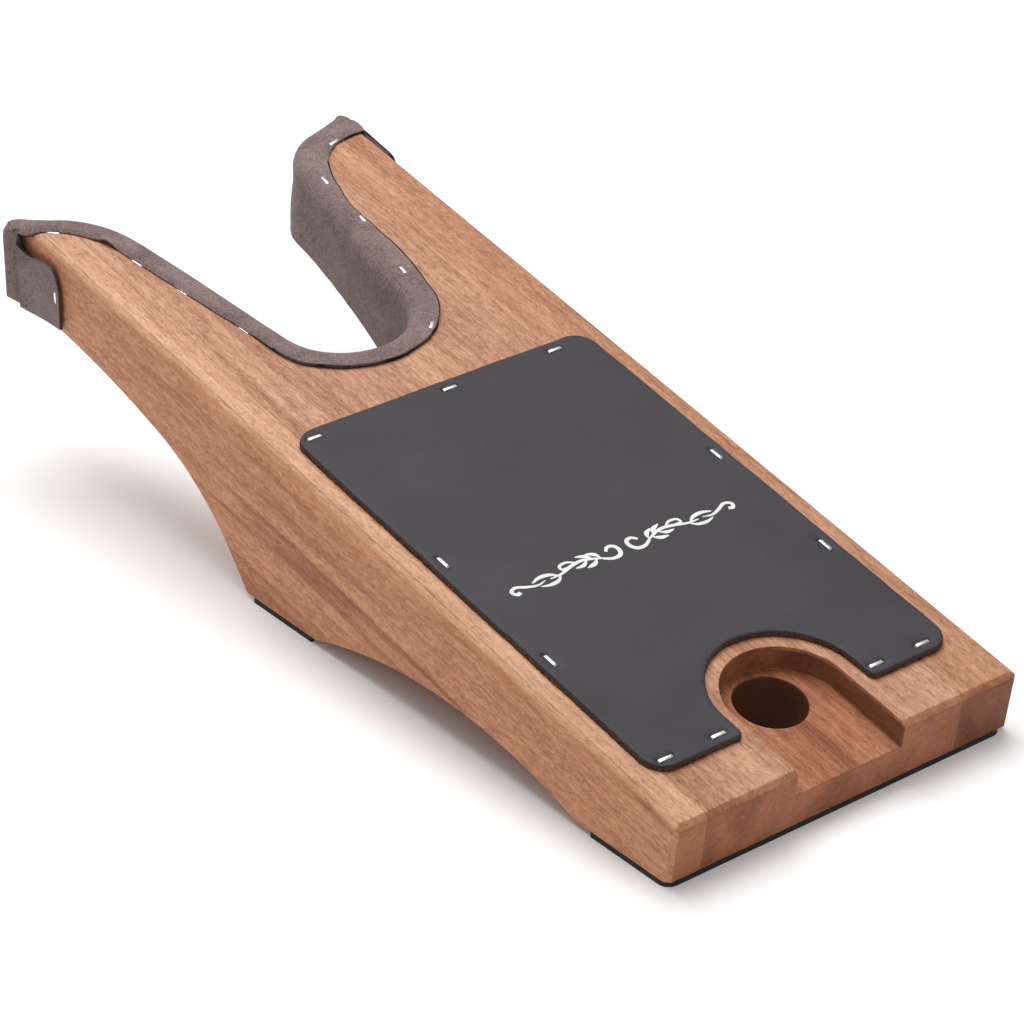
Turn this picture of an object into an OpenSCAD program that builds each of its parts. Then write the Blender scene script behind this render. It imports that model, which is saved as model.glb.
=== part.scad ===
// A wooden boot jack: a wedge of glued staves on two rubber pads, with a padded heel notch
// between two prongs, a leather tread panel and a hanging hole at the low end.
//
// X runs across, +Y from the low end to the prongs, +Z up. The floor is Z = 0.
// Plans are drawn in (x, s) and side outlines in (s, z), where s is the level distance from the
// top of the front face. Places on the sloping deck are (x, u), with u measured up the slope.

/* [Body] */
// Length of the wooden body, out to the corners of the prong tips
body_length = 299.6; // [285:0.1:360]
// Width of the wooden body
body_width = 120; // [100:1:145]
// Height of the deck at the front edge, above the floor
front_height = 19.4; // [17:0.5:24]
// Slope of the deck
deck_angle = 10.7; // [9:0.1:12.8]
// How far the foot of the front face stands back from its top
front_lean = 2.6; // [0.5:0.5:4]
// Width of the flats cut on the edges of the front face
front_flat = 1.6; // [0.5:0.1:3]
// Radius of the deck's long edges
edge_radius = 3; // [1:0.5:5]
// Width of the left stave
left_stave_width = 11; // [6:0.5:14]
// Width of the right stave
right_stave_width = 20.5; // [14:0.5:24]

/* [Underside] */
// Distance from the front to the middle of the arch between the feet
arch_middle = 95.1; // [90:0.1:99]
// Radius of the arch
arch_radius = 172.4; // [140:0.1:210]
// Height of the arch above the floor
arch_height = 11; // [7:0.5:14]
// Distance from the front to the back of the rear foot
rear_foot_end = 184; // [178:0.1:190]
// Steepness of the back of the rear foot
rise_angle = 51; // [45:1:58]
// Length of the straight rise behind the rear foot
rise_length = 12; // [6:0.5:16]
// Radius of the curve from the rise to the prongs
swell_radius = 76; // [60:1:90]
// Slope at which the prongs leave that curve
prong_start_angle = 19.4; // [14:0.1:24]
// Radius of the prongs' underside
prong_radius = 304; // [220:1:400]

/* [Pads] */
// Thickness of the rubber pads
pad_thickness = 1.5; // [1:0.1:4]
// Length of the front pad
front_pad_length = 30; // [20:1:33]
// How much narrower than the body the front pad is
front_pad_saving = 2; // [2:0.5:20]
// How far the front pad sits towards the left side
front_pad_shift = 1; // [0:0.5:1]
// Corner radius of the front pad
front_pad_corner = 3.5; // [1:0.5:8]
// Distance from the front to the rear pad
rear_pad_start = 153.6; // [152:0.1:160]
// Length of the rear pad
rear_pad_length = 27; // [15:1:28]

/* [Notch] */
// Radius of the notch's round end, in the wood
notch_radius = 22.5; // [18:0.5:28]
// Distance from the front to the middle of the round end
notch_middle = 216.6; // [210:0.1:240]
// How far the notch lies left of the middle
notch_shift = 3; // [0:0.5:5]
// Lean of each side of the notch away from the middle line
notch_angle = 9.2; // [6:0.1:12]
// Slope of the prongs' ends
tip_angle = 19; // [10:1:25]
// Radius of the left prong's inner corner
left_tip_radius = 38; // [25:1:40]
// Radius of the right prong's inner corner
right_tip_radius = 22; // [15:1:35]

/* [Lining] */
// Thickness of the suede lining
lining_thickness = 1.5; // [1:0.1:2.5]
// Gap that the glue fills behind the lining
lining_gap = 0.3; // [0.2:0.1:0.6]
// Width of the flap that lies on the deck around the notch
flap_width = 7.5; // [5:0.5:10]
// Width of the flap on the prong tips
tip_flap_width = 10.5; // [7:0.5:14]
// Inner corner radius of the left tip's flap
left_flap_radius = 20; // [12:1:28]
// Inner corner radius of the right tip's flap
right_flap_radius = 12; // [8:1:16]
// Length of the tabs folded round to the outer sides
tab_length = 27.5; // [22:0.5:40]
// Drop from the deck to the tabs' upper edge
tab_drop = 4.8; // [4:0.1:8]
// Corner radius of the tabs
tab_corner = 8; // [3:0.5:9]

/* [Tread panel] */
// Bare wood on each side of the leather panel
panel_side_rim = 8.2; // [6:0.1:14]
// Length of the panel up the slope
panel_length = 158.6; // [130:0.1:165]
// Distance up the slope from the front edge to the panel
panel_start = 17.4; // [10:0.1:20]
// Thickness of the panel
panel_thickness = 2; // [1:0.1:3]
// Corner radius of the panel
panel_corner = 7; // [3:0.5:12]

/* [Hanging hole] */
// Radius of the round end of the recess, and half its width
recess_radius = 18.5; // [14:0.5:20]
// Depth of the recess below the deck
recess_depth = 7.5; // [4:0.5:9]
// Distance up the slope to the middle of the recess's round end
recess_middle = 25; // [22:0.1:30]
// Bare rim between the recess and the panel
recess_rim = 4; // [2:0.5:6]
// Radius of the hole
hole_radius = 10.3; // [8:0.1:13]
// Distance up the slope to the hole
hole_middle = 30.7; // [28:0.1:32]
// Room left round the hole in the front pad
pad_hole_clearance = 1; // [0.5:0.5:3]

/* [Staples] */
// Length of a staple's crown
crown_length = 5; // [4:0.1:6]
// Width of the wire
wire_width = 1.2; // [0.8:0.1:1.4]
// Thickness of the wire
wire_thickness = 0.6; // [0.4:0.1:0.9]
// Length of a staple's legs
leg_length = 7; // [5:0.5:8]
// Clearance round each staple
staple_clearance = 0.05; // [0.02:0.01:0.1]
// Distance from the panel's side edges to its staples
side_inset = 3.6; // [2.5:0.1:5]
// Distance from the panel's low edge to its staples
low_inset = 3.2; // [2.5:0.1:5]
// Distance from the panel's high edge to its staples
high_inset = 3.6; // [2.5:0.1:5]
// Distance from the flap's edge to the lining's staples on the right
right_flap_inset = 1.9; // [1:0.1:3]
// Distance from the flap's edge to the lining's staples on the left
left_flap_inset = 1.2; // [1:0.1:3]

/* [Hidden] */
$fn = 96;

wood_light = "#d3a07c";
wood_middle = "#c8906c";
suede = "#7b706c";
leather = "#4e4c50";
steel = "#c9ccd0";
rubber = "#1d1d1f";

half_width = body_width / 2;
lining_reach = lining_gap + lining_thickness;
face_drop = front_height - pad_thickness;
lean_angle = atan(front_lean / face_drop);
flat_back = front_lean * front_flat / face_drop;
panel_width = body_width - 2 * panel_side_rim;
front_pad_width = body_width - front_pad_saving;

// Reach of the tools and slabs that cut right through, room past the ends of the body, and
// how far an arc crosses what it runs into
tall = 2 * (front_height + body_length);
plan_margin = 60;
overrun = 20;
blend = 0.02;

// The lowest and highest s of the whole object, and the s that becomes Y = 0
front_end = flat_back;
tip_end = end_line(lining_reach, lining_reach);
middle_s = (front_end + tip_end) / 2;

function deck_height(s) = front_height + s * tan(deck_angle);

// Places of the staples: along the panel's low edge out from the recess and in from the sides,
// up its sides from its low edge, and along its high edge from the middle
low_from_notch = [6, 4];
low_from_side = [5.5, 8.6];
up_sides = [48, 94];
high_from_middle = [-46, 1, 39];

// Places of the lining's staples along each side of the notch, from the round end outwards,
// round that end, and in from the outer corner of each tip
left_along = [9, 33, 51];
right_along = [10, 36, 57];
round_end_turn = 40;
left_tip_in = 5;
right_tip_in = 14;

// Place of the staple on each tab, in from its rear edge and down from its upper edge
tab_staple_in = 3;
tab_staple_down = 8.5;

// Side outline of the body in (s, z): the deck stands lift above the wood. Each disc reaches
// blend past the line or arc it runs into, so that the two cross.
module side_outline(lift = 0) {
    rise_foot = [rear_foot_end, pad_thickness];
    rise_top = rise_foot + rise_length * [cos(rise_angle), sin(rise_angle)];
    swell_middle = rise_top + swell_radius * [sin(rise_angle), -cos(rise_angle)];
    swell_end = swell_middle + swell_radius * [-sin(prong_start_angle), cos(prong_start_angle)];
    prong_middle = swell_end + prong_radius * [sin(prong_start_angle), -cos(prong_start_angle)];
    far = tip_end + overrun;
    lift_up = lift / cos(deck_angle);
    difference() {
        polygon([
            [front_lean, pad_thickness],
            [flat_back, front_height - front_flat],
            [front_flat * cos(deck_angle), front_height + front_flat * sin(deck_angle) + lift_up],
            [far, deck_height(far) + lift_up],
            [far, pad_thickness]
        ]);
        translate([arch_middle, arch_height - arch_radius])
            circle(arch_radius, $fn = 360);
        polygon([rise_foot, rise_top, swell_middle, [rise_foot.x, swell_middle.y]]);
        translate(swell_middle)
            circle(swell_radius + blend, $fn = 360);
        intersection() {
            translate(prong_middle)
                circle(prong_radius, $fn = 360);
            polygon([
                prong_middle,
                beyond(prong_middle, swell_end),
                [far + prong_radius, beyond(prong_middle, swell_end).y],
                [far + prong_radius, prong_middle.y]
            ]);
        }
    }
}

function beyond(middle, point) = middle + 1.3 * (point - middle);

// Solid between the deck and the underside, across the given stretch of X
module side_solid(x0, x1, lift = 0) {
    translate([x0, 0, 0])
        rotate([90, 0, 90])
            linear_extrude(x1 - x0)
                side_outline(lift);
}

// Places children on the deck: +Y runs up the slope and +Z stands square to it
module on_deck() {
    translate([0, 0, front_height])
        rotate([deck_angle, 0, 0])
            children();
}

// Moves the finished pieces from (x, s, z) to the object's own frame
module placed() {
    translate([0, -middle_s, 0])
        children();
}

// The notch in plan. Each side line lies beside the round end's middle and each end line goes
// through a prong's outer corner; side is -1 for the left prong and 1 for the right.
function notch_centre() = [-notch_shift, notch_middle];
function side_normal(side) = [side * cos(notch_angle), -sin(notch_angle)];
function side_direction(side) = [side * sin(notch_angle), cos(notch_angle)];
function tip_corner(side) = [side * half_width, body_length];
function end_normal(side) = [-side * sin(tip_angle), cos(tip_angle)];
function end_direction(side) = [side * cos(tip_angle), sin(tip_angle)];
function end_line(end_grow, out) =
    body_length + end_grow / cos(tip_angle) + out * tan(tip_angle);
function cross_of(a, b) = a.x * b.y - a.y * b.x;

// Point at side_off from the round end's middle, square to the side line, and end_off outside
// the end line
function side_end_point(side, side_off, end_off) =
    let (n = side_normal(side), m = end_normal(side),
        p = n * notch_centre() + side_off, q = m * tip_corner(side) + end_off)
    [p * m.y - q * n.y, n.x * q - m.x * p] / cross_of(n, m);

function along_side(side, side_off, run) =
    notch_centre() + side_off * side_normal(side) + run * side_direction(side);

// Plan of a slab with the body's front and prong ends, grown into the notch by side_grow and
// past the ends by end_grow. It is margin wider than the wood on each side, so that what uses
// it sets the width. The radii are those of the prongs' inner corners.
module body_plan(side_grow = 0, end_grow = 0, left_radius = left_tip_radius,
        right_radius = right_tip_radius, margin = plan_margin) {
    round_end = notch_radius - side_grow;
    difference() {
        union() {
            polygon(concat(
                [[-half_width - margin, -overrun], [half_width + margin, -overrun]],
                prong_points(1, round_end, end_grow, right_radius, margin),
                reversed(prong_points(-1, round_end, end_grow, left_radius, margin))
            ));
            translate(corner_middle(1, round_end, end_grow, right_radius))
                circle(right_radius + blend, $fn = 360);
            translate(corner_middle(-1, round_end, end_grow, left_radius))
                circle(left_radius + blend, $fn = 360);
        }
        translate(notch_centre())
            circle(round_end + blend, $fn = 360);
    }
}

// Middle of the arc on the inner corner of one prong
function corner_middle(side, round_end, end_grow, radius) =
    side_end_point(side, round_end + radius, end_grow - radius);

// Points of one prong from its outer corner to the start of its inner side, with the inner
// corner cut off between the ends of its arc
function prong_points(side, round_end, end_grow, radius, margin) =
    let (middle = corner_middle(side, round_end, end_grow, radius))
    [
        [side * (half_width + margin), end_line(end_grow, margin)],
        middle + radius * end_normal(side),
        middle - radius * side_normal(side),
        along_side(side, round_end, 0)
    ];

function reversed(points) = [for (i = [len(points) - 1:-1:0]) points[i]];

// The recess open to the front and the hole through its floor, drawn on the deck
module recess_cut() {
    on_deck() {
        translate([0, recess_middle, -recess_depth])
            cylinder(r = recess_radius, h = tall);
        translate([-recess_radius, recess_middle - tall, -recess_depth])
            cube([2 * recess_radius, tall, tall]);
    }
}

module hole_cut(clearance = 0) {
    on_deck()
        translate([0, hole_middle, -tall / 2])
            cylinder(r = hole_radius + clearance, h = tall);
}

// Flats on the two upright edges of the front face
module front_edge_cuts() {
    for (side = [-1, 1])
        translate([side * half_width, front_lean, pad_thickness])
            rotate([lean_angle, 0, 0])
                rotate([0, 0, 45])
                    cube([front_flat * sqrt(2), front_flat * sqrt(2), 3 * front_height], center = true);
}

// Waste outside the round along one of the long upper edges, of a face that stands reach
// outside the wood's side and lift above the deck
module edge_cut(side, reach = 0, lift = 0) {
    radius = edge_radius + reach;
    on_deck()
        translate([side * (half_width - edge_radius), -overrun, lift - radius])
            mirror([side < 0 ? 1 : 0, 0, 0])
                rotate([90, 0, 0])
                    mirror([0, 0, 1])
                        linear_extrude(body_length + 3 * overrun)
                            difference() {
                                square(radius + 1);
                                circle(radius);
                            }
}

// One stave of the body, between two glue joints
module stave(x0, x1) {
    difference() {
        intersection() {
            side_solid(x0, x1);
            linear_extrude(tall)
                body_plan();
        }
        panel_staple_cuts(x0, x1);
        lining_staple_cuts(x0, x1);
        tab_staple_cuts(x0, x1);
    }
}

left_joint = -half_width + left_stave_width;
right_joint = half_width - right_stave_width;

module stave_left() {
    color(wood_light)
        placed()
            difference() {
                stave(-half_width, left_joint);
                front_edge_cuts();
                edge_cut(-1);
            }
}

module stave_middle() {
    color(wood_middle)
        placed()
            difference() {
                stave(left_joint, right_joint);
                recess_cut();
                hole_cut();
            }
}

module stave_right() {
    color(wood_light)
        placed()
            difference() {
                stave(right_joint, half_width);
                front_edge_cuts();
                edge_cut(1);
            }
}

// Suede that covers the notch's wall, folds over onto the deck and round the prong tips
module heel_lining() {
    color(suede)
        placed()
            difference() {
                union() {
                    lining_wall();
                    lining_flap();
                    lining_tab(-1);
                    lining_tab(1);
                }
                for (side = [-1, 1])
                    edge_cut(side, lining_reach, lining_thickness);
                lining_staple_cuts(-half_width, half_width);
                tab_staple_cuts(-half_width, half_width);
            }
}

module lining_plan(grow) {
    body_plan(grow, grow, left_tip_radius + grow, right_tip_radius + grow);
}

module lining_wall() {
    outside = half_width + lining_reach;
    intersection() {
        side_solid(-outside, outside, lining_thickness);
        linear_extrude(tall)
            difference() {
                lining_plan(lining_reach);
                lining_plan(lining_gap);
            }
    }
}

module lining_flap() {
    intersection() {
        on_deck()
            translate([-half_width, 0, 0])
                cube([body_width, tall, lining_thickness]);
        linear_extrude(tall)
            difference() {
                lining_plan(lining_reach);
                body_plan(-flap_width, -tip_flap_width, left_flap_radius, right_flap_radius,
                    plan_margin + overrun);
            }
    }
}

// Tab on the outer side of one prong: its edges follow the deck and the underside
module lining_tab(side) {
    tab_start = body_length - tab_length;
    inner = half_width + lining_gap;
    intersection() {
        side_solid(side < 0 ? -inner - lining_thickness : inner,
            side < 0 ? -inner : inner + lining_thickness);
        rotate([90, 0, 90])
            linear_extrude(4 * half_width, center = true)
                tab_outline(tab_start);
    }
}

module tab_outline(tab_start) {
    top_start = deck_height(tab_start) - tab_drop;
    corner = [tab_start + tab_corner, deck_height(tab_start + tab_corner) - tab_drop - tab_corner];
    tab_end = end_line(lining_gap + lining_thickness / 2, lining_gap);
    difference() {
        polygon([
            [tab_start, 0],
            [tab_start, top_start],
            [tab_end, deck_height(tab_end) - tab_drop],
            [tab_end, 0]
        ]);
        difference() {
            translate([tab_start - 1, corner.y])
                square([tab_corner + 1, 2 * tab_corner]);
            translate(corner)
                circle(tab_corner);
        }
    }
}

// Leather tread panel with a bay round the recess
module tread_panel() {
    color(leather)
        placed()
            difference() {
                on_deck()
                    linear_extrude(panel_thickness)
                        panel_outline();
                panel_staple_cuts(-half_width, half_width);
            }
}

module panel_outline() {
    bay = recess_radius + recess_rim;
    inner_width = panel_width - 2 * panel_corner;
    inner_length = panel_length - 2 * panel_corner;
    difference() {
        union() {
            translate([-panel_width / 2, panel_start + panel_corner])
                square([panel_width, inner_length]);
            translate([-inner_width / 2, panel_start])
                square([inner_width, panel_length]);
            for (x = [-1, 1] * inner_width / 2, u = [0, inner_length])
                translate([x, panel_start + panel_corner + u])
                    circle(panel_corner);
        }
        translate([0, recess_middle])
            circle(bay);
        translate([-bay, 0])
            square([2 * bay, recess_middle]);
    }
}

// A staple pressed in flush with z = 0, its crown along X. As a cut it has room all round and
// is open to the given height above.
module staple(room = 0, above = 0) {
    wide = wire_width + 2 * room;
    translate([-crown_length / 2 - room, -wide / 2, -wire_thickness - room])
        cube([crown_length + 2 * room, wide, wire_thickness + room + above]);
    for (side = [-1, 1])
        translate([side * (crown_length - wire_thickness) / 2, 0, -leg_length / 2])
            cube([wire_thickness + 2 * room, wide, leg_length + 2 * room], center = true);
}

module staple_slots() {
    staple(staple_clearance, panel_thickness);
}

// Places of the panel's staples as [x, u, turn]
bay_edge = recess_radius + recess_rim;
panel_edge = panel_width / 2;
panel_staple_places = concat(
    [for (side = [-1, 1], i = side < 0 ? 0 : 1)
        [side * (bay_edge + low_from_notch[i]), panel_start + low_inset, 0]],
    [for (side = [-1, 1], i = side < 0 ? 0 : 1)
        [side * (panel_edge - low_from_side[i]), panel_start + low_inset, 0]],
    [for (side = [-1, 1], u = up_sides)
        [side * (panel_edge - side_inset), panel_start + u, 90]],
    [for (x = high_from_middle)
        [x, panel_start + panel_length - high_inset, 0]]
);

// Places of the lining's staples as [x, s, turn]
left_line = notch_radius + flap_width - left_flap_inset;
right_line = notch_radius + flap_width - right_flap_inset;
lining_staple_places = concat(
    [for (run = left_along) plan_place(along_side(-1, left_line, run), 90 + notch_angle)],
    [for (run = right_along) plan_place(along_side(1, right_line, run), 90 - notch_angle)],
    [plan_place(notch_centre() + right_line * [sin(round_end_turn), -cos(round_end_turn)],
        round_end_turn)],
    [plan_place(tip_place(-1, left_flap_inset, left_tip_in), -tip_angle)],
    [plan_place(tip_place(1, right_flap_inset, right_tip_in), tip_angle)]
);

function tip_place(side, inset, in) =
    tip_corner(side) + (inset - tip_flap_width) * end_normal(side) - in * end_direction(side);

function plan_place(point, turn) = [point.x, point.y, turn];

function near(x, x0, x1) = x > x0 - crown_length && x < x1 + crown_length;

module at_panel_places(x0, x1) {
    for (place = panel_staple_places)
        if (near(place.x, x0, x1))
            on_deck()
                translate([place.x, place.y, panel_thickness])
                    rotate([0, 0, place.z])
                        children();
}

module at_lining_places(x0, x1) {
    for (place = lining_staple_places)
        if (near(place.x, x0, x1))
            on_deck()
                translate([place.x, place.y / cos(deck_angle), lining_thickness])
                    rotate([0, 0, place.z])
                        children();
}

module at_tab_places(x0, x1) {
    s = body_length - tab_length + tab_staple_in;
    z = deck_height(s) - tab_drop - tab_staple_down;
    for (side = [-1, 1])
        if (near(side * half_width, x0, x1))
            translate([side * (half_width + lining_reach), s, z])
                rotate([0, side * 90, 0])
                    children();
}

module panel_staple_cuts(x0, x1) {
    at_panel_places(x0, x1)
        staple_slots();
}

module lining_staple_cuts(x0, x1) {
    at_lining_places(x0, x1)
        staple_slots();
}

module tab_staple_cuts(x0, x1) {
    at_tab_places(x0, x1)
        staple_slots();
}

module panel_staples() {
    color(steel)
        placed()
            at_panel_places(-half_width, half_width)
                staple();
}

module lining_staples() {
    color(steel)
        placed()
            at_lining_places(-half_width, half_width)
                staple();
}

module tab_staples() {
    color(steel)
        placed()
            at_tab_places(-half_width, half_width)
                staple();
}

// Rubber pads under the two feet
module front_pad() {
    inner = front_pad_width - 2 * front_pad_corner;
    color(rubber)
        placed()
            difference() {
                linear_extrude(pad_thickness)
                    translate([-front_pad_shift, front_lean]) {
                        translate([-front_pad_width / 2, front_pad_corner])
                            square([front_pad_width, front_pad_length - front_pad_corner]);
                        translate([-inner / 2, 0])
                            square([inner, front_pad_length]);
                        for (side = [-1, 1])
                            translate([side * inner / 2, front_pad_corner])
                                circle(front_pad_corner);
                    }
                hole_cut(pad_hole_clearance);
            }
}

module rear_pad() {
    color(rubber)
        placed()
            translate([-half_width, rear_pad_start, 0])
                cube([body_width, rear_pad_length, pad_thickness]);
}

stave_left();
stave_middle();
stave_right();
heel_lining();
tread_panel();
panel_staples();
lining_staples();
tab_staples();
front_pad();
rear_pad();
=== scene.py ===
"""Looks of a wooden boot jack: glued staves with eased edges, a suede lining folded round the
heel notch, a leather tread panel with a printed scroll, wire staples and rubber pads, on a pale
studio floor.

Sizes are in millimetres until place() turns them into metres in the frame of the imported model.
Plans are drawn in (x, s) and side outlines in (s, z), where s is the level distance from the top
of the front face. Places on the sloping deck are (x, u, h), with u up the slope and h square to it.
"""

from contextlib import contextmanager
from math import acos, atan2, cos, exp, pi, radians, sin, sqrt, tan

import bmesh
import bpy
from mathutils import Matrix, Vector, noise
from mathutils.geometry import delaunay_2d_cdt


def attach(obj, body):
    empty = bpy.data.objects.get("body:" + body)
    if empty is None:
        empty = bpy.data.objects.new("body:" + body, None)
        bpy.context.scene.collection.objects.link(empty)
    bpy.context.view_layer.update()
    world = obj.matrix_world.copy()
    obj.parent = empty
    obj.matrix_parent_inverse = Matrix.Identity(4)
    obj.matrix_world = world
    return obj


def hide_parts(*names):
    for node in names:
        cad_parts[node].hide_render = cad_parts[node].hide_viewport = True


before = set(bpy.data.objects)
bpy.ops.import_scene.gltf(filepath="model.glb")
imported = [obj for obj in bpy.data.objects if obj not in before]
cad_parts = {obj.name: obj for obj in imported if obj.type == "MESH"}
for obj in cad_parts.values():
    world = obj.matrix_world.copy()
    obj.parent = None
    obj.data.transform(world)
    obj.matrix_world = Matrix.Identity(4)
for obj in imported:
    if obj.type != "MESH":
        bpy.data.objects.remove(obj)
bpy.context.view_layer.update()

MM = 0.001
# The body: outer sizes, slope of the deck, glue joints and eased edges
MIDDLE_S = 151.178
HALF_WIDTH = 60.0
BODY_LENGTH = 299.6
FRONT_HEIGHT = 19.4
FRONT_LEAN = 2.6
DECK = radians(10.7)
PAD_TOP = 1.5
LEFT_JOINT = -49.0
RIGHT_JOINT = 39.5
EDGE_RADIUS = 3.0
NOTCH_EASE = 5.0

# The underside: the arch between the pads, and the rise and swell behind the rear pad
ARCH_MIDDLE, ARCH_RADIUS, ARCH_HEIGHT = 95.1, 172.4, 11.0
REAR_FOOT_END, RISE_ANGLE, RISE_LENGTH = 184.0, radians(51), 12.0
SWELL_RADIUS, PRONG_START, PRONG_RADIUS = 76.0, radians(19.4), 304.0

# The notch in plan: its round end, the turn of its sides and of the prongs' ends
NOTCH_MIDDLE = Vector((-3.0, 216.6))
NOTCH_RADIUS = 22.5
NOTCH_ANGLE = radians(9.2)
TIP_ANGLE = radians(19)
TIP_RADIUS = {-1: 38.0, 1: 22.0}

RECESS_RADIUS, RECESS_DEPTH, RECESS_MIDDLE = 18.5, 7.5, 25.0
HOLE_RADIUS, HOLE_MIDDLE = 10.3, 30.7

SUEDE_THICKNESS = 1.05
SUEDE_TOP = 1.35

PANEL_HALF_WIDTH, PANEL_START, PANEL_LENGTH = 51.8, 17.4, 158.6
PANEL_THICKNESS, PANEL_CORNER = 2.0, 7.0
BAY_RADIUS = 22.5

# A side outline round the whole body, in (s, z)
FAR = 330.0
WHOLE_SIDE = [(-40, -9), (FAR, -9), (FAR, 120), (-40, 120)]


def place(x, s, z):
    return Vector((x, s - MIDDLE_S, z)) * MM


def on_deck(x, u, h=0.0):
    s = u * cos(DECK) - h * sin(DECK)
    return place(x, s, FRONT_HEIGHT + u * sin(DECK) + h * cos(DECK))


def deck_height(s):
    return FRONT_HEIGHT + s * tan(DECK)


def smooth_step(low, high, value):
    k = min(max((value - low) / (high - low), 0.0), 1.0)
    return k * k * (3 - 2 * k)


def between(stops, value):
    """Smooth curve through stops of (value, result), with a bounded slope at each."""
    last = len(stops) - 1
    slopes = [(q - p) / (b - a) for (a, p), (b, q) in zip(stops, stops[1:])]
    i = next((k for k in range(last) if value <= stops[k + 1][0]), last - 1)
    (a, p), (b, q) = stops[i], stops[i + 1]
    span = b - a
    k = min(max((value - a) / span, 0.0), 1.0)
    rise = (slopes[i - 1] + slopes[i]) / 2 if i else slopes[i]
    fall = (slopes[i] + slopes[i + 1]) / 2 if i + 1 < last else slopes[i]
    start = p * (1 + 2 * k) * (1 - k) ** 2 + rise * span * k * (1 - k) ** 2
    return start + q * k * k * (3 - 2 * k) + fall * span * k * k * (k - 1)


def bump_at(value, middle, height, half):
    """A bell curve, height high at the middle."""
    return height * exp(-(((value - middle) / half) ** 2))


def ripple(x, y, size, seed, z=0.0):
    """Noise from about -1 to 1 that changes over about size millimetres."""
    return noise.noise(Vector((x / size, y / size, z / size + seed)))


# Camera, floor and light


def aim(obj, position, target, roll=0.0):
    """Turns an object's -Z axis to a target, with its Y axis up but for the roll."""
    turn = (Vector(target) - Vector(position)).to_track_quat("-Z", "Y").to_matrix()
    obj.matrix_world = (turn @ Matrix.Rotation(roll, 3, "Z")).to_4x4()
    obj.location = position


def make_camera():
    data = bpy.data.cameras.new("photo_view")
    data.lens = 137.468
    data.sensor_width = 36
    camera = add_object("photo_view", data)
    roll = radians(0.2961)
    aim(camera, (-0.59427, -0.75032, 0.56693), (0.00707, -0.00253, 0.02), roll)
    bpy.context.scene.camera = camera


def make_light():
    data = bpy.data.lights.new("overhead", "AREA")
    data.size = 1.2
    data.energy = 22.0
    aim(add_object("overhead", data), (0.16, 0.42, 1.5), (0, 0, 0.03))


# Materials


class Value:
    """A node's output that takes part in plain arithmetic."""

    def __init__(self, maker, socket):
        self.maker, self.socket = maker, socket

    def math(self, operation, *others):
        sockets = dict(enumerate((self, *others)))
        return self.maker.node("ShaderNodeMath", sockets, operation=operation)

    def __add__(self, other):
        return self.math("ADD", other)

    __radd__ = __add__

    def __sub__(self, other):
        return self.math("SUBTRACT", other)

    def __rsub__(self, other):
        return (self * -1) + other

    def __mul__(self, other):
        return self.math("MULTIPLY", other)

    __rmul__ = __mul__

    def size(self):
        return self.math("ABSOLUTE")

    def most(self, other):
        return self.math("MAXIMUM", other)

    def ramp(self, low, high):
        """0 below low, 1 above high, smooth between."""
        sockets = {"Value": self, "From Min": low, "From Max": high}
        return self.maker.node("ShaderNodeMapRange", sockets, interpolation_type="SMOOTHSTEP")


class Tree:
    """A node tree to which nodes are added with their sockets filled or linked."""

    def __init__(self, tree):
        self.tree = tree

    def node(self, kind, sockets=None, output=0, **settings):
        made = self.tree.nodes.new(kind)
        for key, value in settings.items():
            setattr(made, key, value)
        for key, value in (sockets or {}).items():
            if isinstance(value, Value):
                self.tree.links.new(value.socket, made.inputs[key])
            else:
                made.inputs[key].default_value = value
        return None if output is None else Value(self, made.outputs[output])


class Maker(Tree):
    """Builds one material, reading Object coordinates in millimetres."""

    def __init__(self, name, shift=(0, 0, 0)):
        self.material = bpy.data.materials.new(name)
        self.material.use_nodes = True
        super().__init__(self.material.node_tree)
        self.tree.nodes.clear()
        held = self.node("ShaderNodeTexCoord", output="Object")
        self.normal = self.node("ShaderNodeTexCoord", output="Normal")
        self.at = self.node("ShaderNodeMapping", {"Vector": held, "Scale": (1000, 1000, 1000)})
        self.shifted = self.node("ShaderNodeMapping", {"Vector": self.at, "Location": shift})

    def split(self, vector):
        return [self.node("ShaderNodeSeparateXYZ", {0: vector}, output=i) for i in range(3)]

    def stretched(self, scale, turn=(0, 0, 0)):
        scale = scale if isinstance(scale, tuple) else (scale,) * 3
        turned = self.node("ShaderNodeMapping", {"Vector": self.shifted, "Rotation": turn})
        return self.node("ShaderNodeMapping", {"Vector": turned, "Scale": scale})

    def noise(self, scale, detail=2.0, rough=0.5, warp=0.0, turn=(0, 0, 0)):
        """Noise from 0 to 1. scale is how often it changes per millimetre, alike or by axis."""
        sockets = {"Vector": self.stretched(scale, turn), "Scale": 1.0}
        sockets |= {"Detail": detail, "Roughness": rough, "Distortion": warp}
        return self.node("ShaderNodeTexNoise", sockets)

    def cells(self, scale):
        sockets = {"Vector": self.stretched(scale), "Scale": 1.0}
        return self.node("ShaderNodeTexVoronoi", sockets, output="Distance", feature="SMOOTH_F1")

    def mix(self, share, first, second, blend="MIX"):
        first, second = ((*c, 1.0) if isinstance(c, tuple) else c for c in (first, second))
        sockets = {"Factor": share, 6: first, 7: second}
        return self.node("ShaderNodeMix", sockets, output=2, data_type="RGBA", blend_type=blend)

    def finish(self, colour, rough, relief, **sockets):
        """relief is (height of 0 to 1, how many millimetres 1 stands for, strength)."""
        height, distance, strength = relief
        bump = {"Height": height, "Distance": distance * MM, "Strength": strength}
        named = {key.replace("_", " "): v for key, v in sockets.items()}
        named |= {"Base Color": colour, "Roughness": rough}
        named["Normal"] = self.node("ShaderNodeBump", bump)
        self.output(self.node("ShaderNodeBsdfPrincipled", named))
        return self.material

    def output(self, shader):
        self.node("ShaderNodeOutputMaterial", {"Surface": shader}, output=None)


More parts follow.
